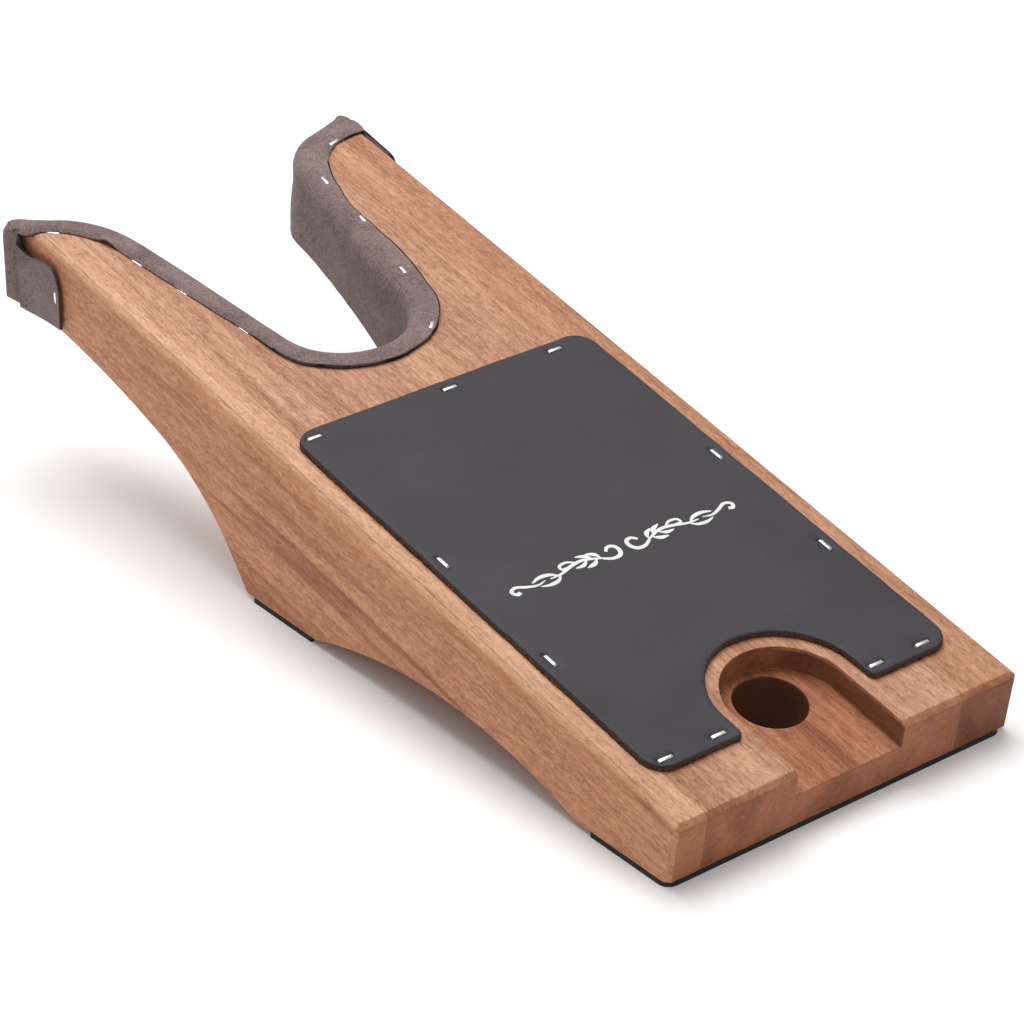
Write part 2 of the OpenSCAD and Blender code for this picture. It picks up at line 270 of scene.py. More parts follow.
def paint(red, green, blue):
    """A colour as seen on a screen, 0 to 255, in linear light."""
    return tuple(
        c / 12.92 if c <= 0.04045 else ((c + 0.055) / 1.055) ** 2.4
        for c in (red / 255, green / 255, blue / 255)
    )


def studio_floor():
    make = Maker("studio_floor")
    shade = make.mix(make.noise(0.004), (0.86, 0.86, 0.86), (0.88, 0.88, 0.88))
    paper = make.node("ShaderNodeBsdfDiffuse", {"Color": shade})
    ray = make.node("ShaderNodeLightPath", output="Is Camera Ray")
    glossy = make.node("ShaderNodeLightPath", output="Is Glossy Ray")
    x, y, _ = make.split(make.at)
    # Painted shadow: the camera-ray glow fades out over a box beneath the body, so the floor there
    # stays darker, like the body's shadow.
    under_x = 1 - x.size().ramp(50, 80)
    under_y = 1 - (y + 62).size().ramp(60, 100)
    past_painted_shadow = 1 - under_x * under_y
    glow = make.node("ShaderNodeEmission", {"Strength": ray.most(glossy) * past_painted_shadow * 0.2})
    make.output(make.node("ShaderNodeAddShader", {0: paper, 1: glow}))
    return make.material


# Heights over the deck between which the wood turns from routed to planed
ROUTED = (-1.4, -0.8)
# Place of the router's line along the left edge
LINE_X = -57.3


def wood(name, light, dark, pore, shift, ring_turn, end_tone, router_line):
    """Oiled hardwood with its grain along Y: bands and a rippled figure, fine streaks and short
    dark pores, rays on the darker ends. Painted shade: faces that don't look up and the recess
    floor get a darker, redder tint, the ends get more of it, and the recess walls and the bore are
    darkened. The recess has scorched patches on its floor, and router_line adds a worn line beside
    the left edge."""
    make = Maker(name, shift)
    x, y, z = make.split(make.at)
    across, along, up = make.split(make.normal)
    s, rise = y + MIDDLE_S, z - FRONT_HEIGHT
    above = rise * cos(DECK) - s * sin(DECK)
    reach = s * cos(DECK) + rise * sin(DECK) - HOLE_MIDDLE
    end = along.size().ramp(0.75, 0.95)
    side = across.size().ramp(0.6, 0.9)
    rings, grain = (-DECK, ring_turn, 0), (-DECK, 0, 0)
    bands = make.noise((0.06, 0.0035, 0.06), 3, 0.55, 0.8, rings)
    figure = make.noise((0.30, 0.07, 0.30), 3, 0.6, 1.2, rings)
    mottle = make.noise((1.1, 0.42, 1.1), 3, 0.65, 0.6, grain)
    streaks = make.noise((0.6, 0.010, 0.4), 4, 0.65, 0.4, rings)
    fibres = make.noise((3.4, 0.13, 2.6), 3, 0.65, 0.3, rings)
    pores = make.noise((4.6, 0.55, 4.6), 2, 0.6, 0.0, grain).ramp(0.55, 0.68)
    cracks = make.noise((3.4, 0.11, 3.4), 3, 0.6, 0.0, grain).ramp(0.58, 0.68)
    tone = bands + (figure - 0.5) * (0.8 + side * 0.4)
    tone = tone + (mottle - 0.5) * (0.9 + side * 0.7) + (streaks - 0.5) * 0.9
    tone = tone + (fibres - 0.5) * (0.9 - side * 0.4)
    red = make.noise((0.13, 0.008, 0.13), 3, 0.6, 0.8, grain).ramp(0.5, 0.72)
    rays = make.noise((0.5, 1.0, 3.0), 3, 0.65, 0.4, (0, 0.75, 0))
    blocks = make.noise((0.07, 0.0, 0.05), 1, 0.5, 0.5, (0, 0.3, 0))
    end_shade = rays.ramp(0.3, 0.7) * 0.5 + blocks.ramp(0.35, 0.65) * 0.5
    routed = 1 - above.ramp(*ROUTED)
    flat = up.ramp(0.55, 0.9)
    scorched = make.noise((0.22, 0.010, 0.22), 3, 0.6, 0.6, grain).ramp(0.46, 0.62)
    near_x = 1 - x.size().ramp(RECESS_RADIUS + 0.2, RECESS_RADIUS + 0.6)
    # Walls of the recess, which get painted shade.
    recess_wall_shade = routed * near_x * (1 - flat) * (1 - end)
    # Painted shade: the inside of the bore, down to below the recess floor, is painted dark brown.
    bore_shade = 1 - (x * x + reach * reach).ramp(HOLE_RADIUS**2 + 2, HOLE_RADIUS**2 + 12)
    bore_shade = bore_shade * (1 - above.ramp(-RECESS_DEPTH - 1.2, -RECESS_DEPTH - 0.3))
    seams = [1 - (x - joint).size().ramp(0.04, 0.16) for joint in (LEFT_JOINT, RIGHT_JOINT)]
    layers = [
        (red * 0.3 + side * red * 0.3, paint(150, 84, 60)),
        (pores * 0.34, pore),
        (cracks * (0.36 - side * 0.2), pore),
        (end * 0.55, make.mix(end_shade, pore, light)),
        # Painted shade: faces that don't look up, and the recess floor, get a darker, redder tint
        # in place of their lower light.
        (1 - flat * (1 - routed), (0.98, 0.82, 0.74), "MULTIPLY"),
        (routed * flat * scorched * 0.55, paint(122, 62, 36)),
        # Painted shade: the recess floor is made darker still.
        (routed * flat, (0.84, 0.76, 0.68), "MULTIPLY"),
        # Painted shade on the recess walls.
        (recess_wall_shade * 0.72, paint(100, 56, 34)),
        # Painted shade inside the bore.
        (bore_shade * 0.85, paint(104, 62, 40)),
        (end * (1 - end_tone), paint(70, 30, 14)),
        # Painted shade: the ends get a further darker, redder tint.
        (end, (0.98, 0.83, 0.72), "MULTIPLY"),
        (seams[0].most(seams[1]) * 0.5, pore),
    ]
    if router_line:
        line = 1 - (x - LINE_X).size().ramp(0.05, 0.32)
        broken = make.noise((0.4, 0.12, 0.4), 3, 0.7).ramp(0.30, 0.52)
        outside = (x * -1).ramp(-LINE_X - 0.1, -LINE_X + 0.5) * up.ramp(0.2, 0.6)
        layers += [
            (line * broken * up.ramp(0.5, 0.8) * 0.5, paint(96, 54, 36)),
            (outside * mottle.ramp(0.35, 0.6) * 0.4, paint(152, 102, 66)),
        ]
    colour = make.mix(tone.ramp(0.0, 1.0), dark, light)
    for share, *over in layers:
        colour = make.mix(share, colour, *over)
    relief = fibres * 0.5 + streaks * 0.15 - pores * 0.8 - cracks * 0.8
    rough = 0.56 + (streaks - 0.5) * 0.12 + pores * 0.15
    return make.finish(colour, rough, (relief, 0.14, 0.7), Specular_IOR_Level=0.3)


def suede():
    make = Maker("suede_nap")
    nap = make.noise(2.3, 3, 0.7)
    tufts = make.noise(0.9, 4, 0.65, 0.8)
    drift = make.noise(0.07, 3, 0.6, 1.0)
    tone = 0.5 + (nap - 0.5) * 1.9 + (tufts - 0.5) * 0.9 + (drift - 0.5) * 0.8
    colour = make.mix(tone.ramp(0.0, 1.0), paint(97, 80, 77), paint(159, 138, 135))
    rough, relief = 0.9 + (nap - 0.5) * 0.1, (nap * 0.7 + tufts * 0.6, 0.4, 0.8)
    sheen = {"Sheen_Weight": 0.2, "Sheen_Roughness": 0.5}
    return make.finish(colour, rough, relief, Specular_IOR_Level=0.15, **sheen)


def suede_edge():
    make = Maker("suede_cut_edge")
    fibre = make.noise((4.0, 4.0, 1.2), 4, 0.7)
    worn = make.noise(0.09, 2, 0.5).ramp(0.42, 0.58)
    black = make.mix(fibre.ramp(0.35, 0.7), paint(30, 26, 26), paint(66, 58, 56))
    grey = make.mix(fibre.ramp(0.35, 0.7), paint(74, 63, 61), paint(116, 102, 99))
    colour = make.mix(worn, black, grey)
    return make.finish(colour, 0.95, (fibre, 0.3, 0.8), Specular_IOR_Level=0.1)


def leather_face():
    make = Maker("leather_face")
    grain = make.cells(1.5)
    fine = make.noise(3.0, 4, 0.65)
    drift = make.noise(0.03, 3, 0.6)
    tone = 0.5 + (fine - 0.5) * 1.5 + (drift - 0.5) * 0.7
    colour = make.mix(tone.ramp(0.0, 1.0), paint(41, 38, 43), paint(67, 63, 69))
    rough, relief = 0.62 + (fine - 0.5) * 0.2, (grain * 0.6 + fine * 0.5, 0.12, 0.5)
    return make.finish(colour, rough, relief, Specular_IOR_Level=0.4)


def leather_edge():
    make = Maker("leather_cut_edge")
    fibre = make.noise(2.2, 4, 0.75, 0.8)
    threads = make.noise((5.0, 5.0, 1.5), 3, 0.7)
    tone = fibre * 0.6 + threads * 0.4
    colour = make.mix(tone.ramp(0.42, 0.62), paint(44, 31, 26), paint(150, 106, 76))
    return make.finish(colour, 0.9, (tone, 0.5, 0.9), Specular_IOR_Level=0.15)


def white_print():
    make = Maker("white_print")
    cover = make.noise(2.0, 4, 0.7)
    colour = make.mix(cover.ramp(0.25, 0.45), paint(196, 194, 193), paint(238, 237, 235))
    return make.finish(colour, 0.6 + (cover - 0.5) * 0.2, (cover, 0.04, 0.4))


def steel_wire():
    make = Maker("staple_wire")
    drawn = make.noise((6.0, 6.0, 0.8), 3, 0.6)
    colour = make.mix(drawn, (0.70, 0.70, 0.72), (0.88, 0.88, 0.90))
    return make.finish(colour, 0.22 + drawn * 0.16, (drawn, 0.03, 0.4), Metallic=1.0)


def pad_rubber():
    make = Maker("pad_rubber")
    pebble = make.noise(2.4, 3, 0.6)
    dust = make.noise(0.3, 4, 0.7)
    colour = make.mix(dust.ramp(0.3, 0.8), (0.010, 0.010, 0.011), (0.022, 0.022, 0.023))
    return make.finish(colour, 0.75 + (dust - 0.5) * 0.2, (pebble, 0.15, 0.6))


# Mesh helpers


def add_object(name, mesh):
    made = bpy.data.objects.new(name, mesh)
    bpy.context.collection.objects.link(made)
    return made


def new_mesh(name, points, faces, *materials):
    mesh = bpy.data.meshes.new(name)
    mesh.from_pydata(points, [], faces)
    for material in materials:
        mesh.materials.append(material)
    return mesh


@contextmanager
def editing(mesh):
    work = bmesh.new()
    work.from_mesh(mesh)
    yield work
    work.to_mesh(mesh)
    work.free()


def solid_mesh(*parts):
    """Closed mesh with its faces turned outwards."""
    mesh = new_mesh(*parts)
    with editing(mesh) as work:
        bmesh.ops.recalc_face_normals(work, faces=work.faces)
    return mesh


def prism(name, outline, low, high):
    """Closed solid between two copies of an outline; low and high give each point's place."""
    count = len(outline)
    points = [low(*p) for p in outline] + [high(*p) for p in outline]
    faces = [tuple(range(count)), tuple(range(count, 2 * count))]
    faces += [(i, (i + 1) % count, (i + 1) % count + count, i + count) for i in range(count)]
    return add_object(name, solid_mesh(name, points, faces))


def plain(obj):
    """Replaces an object's mesh by its evaluated one, without modifiers."""
    graph = bpy.context.evaluated_depsgraph_get()
    mesh = bpy.data.meshes.new_from_object(obj.evaluated_get(graph))
    obj.modifiers.clear()
    obj.data = mesh


def cut(obj, outline, operation, low, high):
    """Cuts an object with a prism, or keeps what lies in it."""
    tool = prism("cutter", outline, low, high)
    step = obj.modifiers.new(operation, "BOOLEAN")
    step.operation, step.object, step.solver = operation, tool, "EXACT"
    plain(obj)
    bpy.data.objects.remove(tool)


def arc(middle, radius, start, end, step):
    """Points on an arc from one angle to the other, both included."""
    count = max(int(abs(end - start) * radius / step), 2)
    angles = [start + (end - start) * i / count for i in range(count + 1)]
    return [(middle[0] + radius * cos(t), middle[1] + radius * sin(t)) for t in angles]


def rounded(corners, step):
    """Closed outline through corners of (x, y, radius), run anticlockwise."""
    points = []
    for i, (x, y, radius) in enumerate(corners):
        if radius == 0:
            points.append((x, y))
            continue
        here = Vector((x, y))
        back = (Vector(corners[i - 1][:2]) - here).normalized()
        ahead = (Vector(corners[i + 1 - len(corners)][:2]) - here).normalized()
        half = back.angle(ahead) / 2
        middle = here + (back + ahead).normalized() * radius / sin(half)
        first = here + back * radius / tan(half) - middle
        last = here + ahead * radius / tan(half) - middle
        turn = first.angle_signed(last)
        start = atan2(first.y, first.x)
        points += arc(middle, radius, start, start - turn, step)
    return points


def evenly(points, step):
    """The closed outline cut into pieces of about one length."""
    result = []
    for a, b in zip(points, points[1:] + points[:1]):
        a, b = Vector(a), Vector(b)
        count = max(round((b - a).length / step), 1)
        result += [tuple(a.lerp(b, i / count)) for i in range(count)]
    return result


def finish_piece(obj, node_name):
    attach(obj, "root")
    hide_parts(node_name)


def soften(obj):
    """Smooth shading that keeps flat faces flat and the corners of glue joints sharp."""
    obj.data.shade_smooth()
    with editing(obj.data) as work:
        for edge in work.edges:
            edge.smooth = edge.calc_face_angle(0) < radians(50)
    even = obj.modifiers.new("even_normals", "WEIGHTED_NORMAL")
    even.weight, even.keep_sharp = 60, True


# The notch's edge in plan, as points about this far apart
WALK_STEP = 1.0


def side_normal(side):
    return Vector((side * cos(NOTCH_ANGLE), -sin(NOTCH_ANGLE)))


def end_normal(side):
    return Vector((-side * sin(TIP_ANGLE), cos(TIP_ANGLE)))


def tip_corner(side):
    return Vector((side * HALF_WIDTH, BODY_LENGTH))


def tip_arc_middle(side):
    """Middle of the arc on a prong's inner corner."""
    n, m = side_normal(side), end_normal(side)
    p = n.dot(NOTCH_MIDDLE) + NOTCH_RADIUS + TIP_RADIUS[side]
    q = m.dot(tip_corner(side)) - TIP_RADIUS[side]
    cross = n.x * m.y - n.y * m.x
    return Vector((p * m.y - q * n.y, n.x * q - m.x * p)) / cross


def prong_walk(side):
    """From a prong's outer corner to the round end: points and their directions into the wood."""
    middle, radius = tip_arc_middle(side), TIP_RADIUS[side]
    m, n = end_normal(side), side_normal(side)
    start, end = tip_corner(side), middle + radius * m
    count = max(round((end - start).length / WALK_STEP), 1)
    walk = [(start.lerp(end, i / count), -m) for i in range(count)]
    first, last = atan2(m.y, m.x), atan2(-n.y, -n.x)
    for p in arc(middle, radius, first, last, WALK_STEP):
        walk.append((Vector(p), (middle - Vector(p)).normalized()))
    start, end = middle - radius * n, NOTCH_MIDDLE + NOTCH_RADIUS * n
    count = round((end - start).length / WALK_STEP)
    walk += [(start.lerp(end, i / count), n) for i in range(1, count + 1)]
    return walk


def notch_walk():
    """The notch's whole edge, from the left prong's outer corner to the right one's."""
    first, last = (atan2(n.y, n.x) for n in (side_normal(-1), side_normal(1)))
    round_end = [Vector(p) for p in arc(NOTCH_MIDDLE, NOTCH_RADIUS, first, last, WALK_STEP)][1:-1]
    walk = prong_walk(-1) + [(p, (p - NOTCH_MIDDLE).normalized()) for p in round_end]
    return walk + prong_walk(1)[::-1]


# Wood


def underside_points():
    """Side outline below the deck in (s, z), from the foot of the front face to far behind."""
    arch_z = ARCH_HEIGHT - ARCH_RADIUS
    reach = acos((PAD_TOP - arch_z) / ARCH_RADIUS)
    up = pi / 2
    foot = Vector((REAR_FOOT_END, PAD_TOP))
    rise = foot + RISE_LENGTH * Vector((cos(RISE_ANGLE), sin(RISE_ANGLE)))
    swell = rise + SWELL_RADIUS * Vector((sin(RISE_ANGLE), -cos(RISE_ANGLE)))
    slope = Vector((sin(PRONG_START), -cos(PRONG_START)))
    prong = swell - SWELL_RADIUS * slope + PRONG_RADIUS * slope
    points = [(FRONT_LEAN, PAD_TOP)]
    points += arc((ARCH_MIDDLE, arch_z), ARCH_RADIUS, up + reach, up - reach, 2.5)
    points += [tuple(foot)]
    points += arc(swell, SWELL_RADIUS, up + RISE_ANGLE, up + PRONG_START, 1.5)
    points += arc(prong, PRONG_RADIUS, up + PRONG_START, up - 0.01, 3.0)[1:]
    return points


UNDERSIDE = underside_points()


def underside_height(s):
    for (a, p), (b, q) in zip(UNDERSIDE, UNDERSIDE[1:]):
        if a <= s <= b:
            return p + (q - p) * (s - a) / (b - a)
    return UNDERSIDE[-1][1]


def ease(obj, test, width, segments):
    """Bevels the clear edges whose middle passes a test of x, s and the depth below the deck."""
    with editing(obj.data) as work:
        bmesh.ops.remove_doubles(work, verts=work.verts, dist=1e-6)
        parts = {"verts": work.verts, "edges": work.edges}
        bmesh.ops.dissolve_limit(work, angle_limit=radians(0.05), **parts)
        edges = []
        for edge in work.edges:
            if len(edge.link_faces) != 2 or edge.calc_face_angle(0) < radians(20):
                continue
            middle = (edge.verts[0].co + edge.verts[1].co) / 2 / MM
            s = middle.y + MIDDLE_S
            if test(middle.x, s, deck_height(s) - middle.z):
                edges.append(edge)
        how = {"offset_type": "OFFSET", "profile": 0.5, "affect": "EDGES", "clamp_overlap": False}
        bmesh.ops.bevel(work, geom=edges, offset=width * MM, segments=segments, **how)


def make_body():
    """The whole wooden body as one solid with its edges eased."""
    margin = 40.0
    wide = HALF_WIDTH + margin
    far = BODY_LENGTH + margin * tan(TIP_ANGLE)
    side = [(0.0, FRONT_HEIGHT)] + UNDERSIDE + [(FAR, deck_height(FAR))]
    spare = HALF_WIDTH + 10
    body = prism("body", side, level_with(-spare), level_with(spare))
    edge = [tuple(p) for p, _ in notch_walk()]
    plan = [(-wide, -margin), (wide, -margin), (wide, far)] + edge[::-1] + [(-wide, far)]
    recess = arc((0, RECESS_MIDDLE), RECESS_RADIUS, 0, pi, 0.8)
    recess += [(-RECESS_RADIUS, -margin), (RECESS_RADIUS, -margin)]
    hole = arc((0, HOLE_MIDDLE), HOLE_RADIUS, 0, 2 * pi, 0.7)[:-1]
    cut(body, plan, "INTERSECT", lambda x, s: place(x, s, -9), lambda x, s: place(x, s, 99))
    through = -60
    for outline, floor in ((recess, -RECESS_DEPTH), (hole, through)):
        low, high = lambda x, u: on_deck(x, u, floor), lambda x, u: on_deck(x, u, 30)
        cut(body, outline, "DIFFERENCE", low, high)

    def front_edges(x, s, below):
        top = abs(below) < 0.1 and s < 0.1
        return top or (abs(x) > HALF_WIDTH - 0.1 and s < FRONT_LEAN and below > 0.5)

    def notch_edges(x, s, below):
        return abs(below) < 0.1 and s > 150 and abs(x) < spare - 0.05

    def others(x, s, below):
        at_tip = s > BODY_LENGTH - 9 and abs(x) > HALF_WIDTH - 10
        under_fold = s > 180 and below < 6 and abs(x) < HALF_WIDTH - 0.5
        return not at_tip and not under_fold

    ease(body, notch_edges, NOTCH_EASE, 6)
    cut(body, WHOLE_SIDE, "INTERSECT", level_with(-HALF_WIDTH), level_with(HALF_WIDTH))
    ease(body, front_edges, 1.6, 1)
    inner, beyond = HALF_WIDTH - EDGE_RADIUS, 4
    outer = HALF_WIDTH + beyond
    waste = arc((inner, -EDGE_RADIUS), EDGE_RADIUS, 0, pi / 2, 0.6)
    waste += [(inner, beyond), (outer, beyond), (outer, -EDGE_RADIUS)]
    low, high = lambda x, h: on_deck(x, -40, h), lambda x, h: on_deck(x, 360, h)
    for end in (-1, 1):
        cut(body, [(end * x, h) for x, h in waste], "DIFFERENCE", low, high)
    ease(body, others, 0.3, 2)
    return body


def level_with(x):
    return lambda s, z: place(x, s, z)


def make_stave(name, body, low, high, material):
    stave = add_object(name, body.data.copy())
    cut(stave, WHOLE_SIDE, "INTERSECT", level_with(low), level_with(high))
    stave.data.materials.clear()
    stave.data.materials.append(material)
    soften(stave)
    return stave


# Suede lining

# Width of the flap on the deck, along the notch's edge from the left tip to the right one
FLAP_WIDTHS = [
    (0, 7.0), (1, 8.4), (2, 9.1), (3.5, 9.8), (5, 10.1), (7, 10.0), (11, 9.6), (16, 9.1),
    (21, 8.9), (34, 8.5), (49, 8.0), (67, 7.5), (77, 7.2), (88, 6.6), (99, 6.8), (104, 7.5),
    (108, 8.0), (113, 7.0), (118, 6.3), (124, 5.6), (131, 5.4), (137, 5.4), (144, 6.1),
    (151, 6.9), (157, 7.6), (163, 7.7), (172, 8.1), (179, 7.7), (186, 7.3), (192, 6.6),
    (198, 6.4), (203, 5.5), (208, 5.2), (215, 6.1), (221, 6.8), (228, 8.6), (237, 9.7),
    (246, 9.9), (253, 9.7), (258, 10.4), (262, 11.3), (264, 10.8), (265.5, 9.2), (266.5, 6.6),
    (267.5, 3.7),
]
# Radius of the fold over the notch's edge
FOLD_RADII = [
    (0, 4.2), (4, 5.4), (9, 6.0), (24, 6.0), (45, 6.0), (60, 5.2), (95, 5.0), (108, 5.0),
    (116, 3.8), (124, 2.7), (132, 2.2), (146, 2.5), (157, 4.0), (170, 6.0), (215, 6.2),
    (240, 5.6), (256, 5.2), (263, 4.2), (268, 2.6),
]
# How far the suede stands off the wood of the notch's wall
STAND_OFF = [
    (0, 1.2), (20, 1.3), (36, 1.7), (44, 1.8), (60, 1.8), (224, 1.8), (240, 1.5), (256, 1.5),
    (268, 1.2),
]
# How much lower the fold lies near the two tips
TIP_DROP = [
    (0, 1.1), (5, 1.5), (9, 1.5), (14, 1.0), (20, 0.4), (27, 0.0), (40, 0.0), (232, 0.0),
    (244, 0.0), (252, 0.6), (260, 1.1), (268, 1.7),
]
# How far the flap's cut edge is pressed down
PRESSED = [(0, 0.9), (95, 0.9), (110, 0.35), (165, 0.3), (220, 0.35), (235, 0.5), (268, 0.5)]
# Depth of each tab's upper edge below the deck, from its rear edge forwards
TAB_EDGE = {
    -1: [(273.0, 11.0), (273.2, 8.6), (273.9, 6.2), (275.0, 4.7), (276.6, 3.9), (279.5, 3.8),
         (284.9, 4.7), (289.0, 4.9), (291.5, 4.2), (293.0, 3.2)],
    1: [(273.0, 9.0), (273.2, 5.0), (273.7, 3.0), (274.6, 1.9), (276.0, 1.5), (284.0, 1.3),
        (292.6, 1.4)],
}
TAB_END = 273.0
TAB_STAPLE_S, TAB_STAPLE_DEPTH = TAB_END + 2.3, 12.6
# Height of a tab's lower edge at its rear end, and its slope
TAB_FOOT, TAB_FOOT_SLOPE = 49.4, 0.04
# How far each tab stands off the wood, its bulge at the prong's outer corner, and the most that
# the suede drops over the long edge there
TAB_STAND_OFF = {-1: 1.8, 1: 1.25}
BULGE = {-1: 1.7, 1: 0.3}
CORNER_DROP = {-1: 2.1, 1: 1.3}
# Columns of points round each outer corner
CORNER_STEPS = 9
# The lower wall's bulge near the right tip: place along the edge, height, half length
BELLY = (236, 1.1, 11)
# Where the flap's edge stands off the deck: place along the edge, height, half length
LIFTS = [(34.5, 0.8, 3.5), (181.0, 0.7, 12.0), (150.0, 0.3, 8.0)]
# Where the flap's last row has the cut edge's looks, along the edge
CUT_SHOWS = (100, 232)
# Dent at each staple: depth and the square of its reach
DENT, DENT_REACH = 0.6, 3.2


def side_round(x):
    """How far the suede's top drops as it follows the rounded long edge."""
    radius = 6.0
    past = min(max(abs(x) - (HALF_WIDTH - EDGE_RADIUS), 0.0), radius - 0.01)
    drop = radius - sqrt(radius**2 - past**2)
    most = CORNER_DROP[-1 if x < 0 else 1]
    return drop / (1 + (drop / most) ** 3) ** (1 / 3)


def staple_spots(walk, runs):
    """Places of the lining's staples: index in walk, distance from the edge, depth in the nap."""
    spots = []
    places = [(-1, 9, 0.38, 1.46), (-1, 33, 0.40, 1.5), (-1, 51, 0.32, 1.42)]
    places += [(1, 10, 4.0, 0.55), (1, 36.6, 1.2, 0.5), (1, 58.5, 3.2, 0.5)]
    for side, run, inset, sunk in places:
        n = side_normal(side)
        along = Vector((-n.y * side, n.x * side))
        spots.append((NOTCH_MIDDLE + NOTCH_RADIUS * n + run * along, inset, sunk))
    turn = radians(42)
    round_end = NOTCH_MIDDLE + NOTCH_RADIUS * Vector((sin(turn), -cos(turn)))
    spots.append((round_end, 1.6, 0.5))
    for side, run, inset, sunk in ((-1, 12.8, 0.30, 1.40), (1, 16.6, 0.9, 0.5)):
        m = end_normal(side)
        spots.append((tip_corner(side) + run * Vector((-side * m.y, side * m.x)), inset, sunk))
    found = []
    for spot, inset, sunk in spots:
        index = min(range(len(walk)), key=lambda i: (walk[i][0] - spot).length)
        found.append((index, between(FLAP_WIDTHS, runs[index]) - inset, sunk))
    return found


def make_lining(material, edge):
    """Closed sheet over the wall, the fold, the flap and the tabs; gives its staples' places."""
    walk = notch_walk()
    runs = [0.0]
    for (p, _), (q, _) in zip(walk, walk[1:]):
        runs.append(runs[-1] + (q - p).length)
    total = runs[-1]
    spots = staple_spots(walk, runs)
    dents = [walk[i][0] + walk[i][1] * off for i, off, _ in spots]
    wall_rows, over_rows = 16, 16
    shares = [j / (over_rows + 1) for j in range(1, over_rows + 1)] + [0.965, 1.0]

    def wall_point(p, n, share, top, run):
        """Point on the wall, or on a tab where run is None; top is the suede's height there."""
        low = underside_height(p.y) + 0.15
        if run is None:
            low = max(low, TAB_FOOT + TAB_FOOT_SLOPE * (p.y - TAB_END))
        z = low + (top - low) * share
        push = 0.25 * ripple(p.x, p.y, 14, 3.0, z) + 0.1 * ripple(p.x, p.y, 4, 7.0, z)
        if run is None:
            aside = p.y - TAB_STAPLE_S, z - deck_height(TAB_STAPLE_S) + TAB_STAPLE_DEPTH
            push -= 0.4 * exp(-((aside[0] / 1.2) ** 2) - (aside[1] / 3.0) ** 2)
        else:
            push += bump_at(run, *BELLY) * (1 - smooth_step(0.25, 0.95, share))
        q = p - n * push
        return place(q.x, q.y, z)

    def wall_column(p, n, top, run=None):
        return [wall_point(p, n, j / wall_rows, top, run) for j in range(wall_rows + 1)]

    def top_point(p, n, run, share, reach):
        """Point over the fold and flap; reach is how far the flap goes from the notch's edge."""
        fold, gap = between(FOLD_RADII, run), between(STAND_OFF, run)
        fold_middle, quarter = fold - gap, fold * pi / 2
        here = (quarter + reach - fold_middle) * share
        if here < quarter:
            turn = here / fold
            off = fold_middle - fold * cos(turn)
            height = SUEDE_TOP - fold * (1 - sin(turn))
        else:
            off, height = fold_middle + here - quarter, SUEDE_TOP
        q = p + n * off
        flat = smooth_step(-1.0, 3.0, off)
        lift = sum(bump_at(run, *spot) for spot in LIFTS)
        pressed = between(PRESSED, run) * (1 - min(lift, 1.0))
        lifted, sunk = bump_at(off, reach, lift, 1.8), bump_at(off, reach, pressed, 0.9)
        height += lifted - flat * sunk
        height -= sum(DENT * exp(-((q - dent).length_squared) / DENT_REACH) for dent in dents)
        height += flat * 0.18 * ripple(q.x, q.y, 7, 1.0) + 0.14 * ripple(q.x, q.y, 17, 5.0)
        height -= between(TIP_DROP, run) * (1 - smooth_step(2.0, 7.0, off))
        if off > 0:
            eased = max(NOTCH_EASE - off, 0.0)
            wood_top = sqrt(NOTCH_EASE**2 - eased**2) - NOTCH_EASE
            height = max(height, wood_top + 0.3)
        return place(q.x, q.y, deck_height(q.y) + height - side_round(q.x))

    def over_column(p, n, run, reach):
        return [top_point(p, n, run, share, reach) for share in shares]

    def fold_start(q, run):
        """Height at which the fold starts over a point of the suede's outer face."""
        rise = SUEDE_TOP - between(FOLD_RADII, run) - between(TIP_DROP, run) - side_round(q.x)
        return deck_height(q.y) + rise

    points, faces = [], []

    def add_column(column):
        points.extend(column)
        return list(range(len(points) - len(column), len(points)))

    def corner_arc(side):
        """Plan of the outer face round a prong's outer corner: points and directions."""
        inside_by = 0.8
        at_end = between(STAND_OFF, 0 if side < 0 else total) + inside_by
        at_tab = TAB_STAND_OFF[side] + BULGE[side] + inside_by
        m = end_normal(side)
        middle = Vector((side * (HALF_WIDTH - inside_by), 0))
        middle.y = BODY_LENGTH - (inside_by + m.x * (middle.x - side * HALF_WIDTH)) / m.y
        first, last = (pi if side < 0 else 0.0), atan2(m.y, m.x)
        result = []
        for i in range(CORNER_STEPS):
            angle = first + (last - first) * i / CORNER_STEPS
            out = Vector((cos(angle), sin(angle)))
            radius = at_tab + (at_end - at_tab) * smooth_step(0, CORNER_STEPS, i)
            result.append((middle + out * radius, -out))
        return result

    def tab_columns(side):
        """Columns of points from a tab's rear edge round the corner to the prong's end."""
        rim, run = TAB_EDGE[side], (0.0 if side < 0 else total)
        gap = between(STAND_OFF, run)
        end = tip_corner(side) - end_normal(side) * between(FLAP_WIDTHS, run)
        fan = []
        for p, n in corner_arc(side):
            ahead = (end - p).normalized()
            over = over_column(p + ahead * gap, ahead, run, (end - p).length - gap)
            fan.append((wall_column(p, n, fold_start(p, run)), over))
        seam = [fan[0][0][-1]] + fan[0][1]
        seam_end = seam[-1].y / MM + MIDDLE_S
        inward = Vector((-side, 0))
        stations = {s for s, _ in rim} | {277.5 + 1.1 * i for i in range(18)}
        result = []
        for s in sorted(stations):
            if s > seam_end - 0.3:
                continue
            out = TAB_STAND_OFF[side] + BULGE[side] * (1 - smooth_step(6, 24, BODY_LENGTH - s))
            top = deck_height(s) - between(rim, s)
            result.append((wall_column(Vector((side * (HALF_WIDTH + out), s)), inward, top), None))
        for point in seam[:0:-1]:
            q = Vector((point.x / MM, point.y / MM + MIDDLE_S))
            column = wall_column(q, inward, point.z / MM)
            column[-1] = point
            result.append((column, None))
        return result + fan

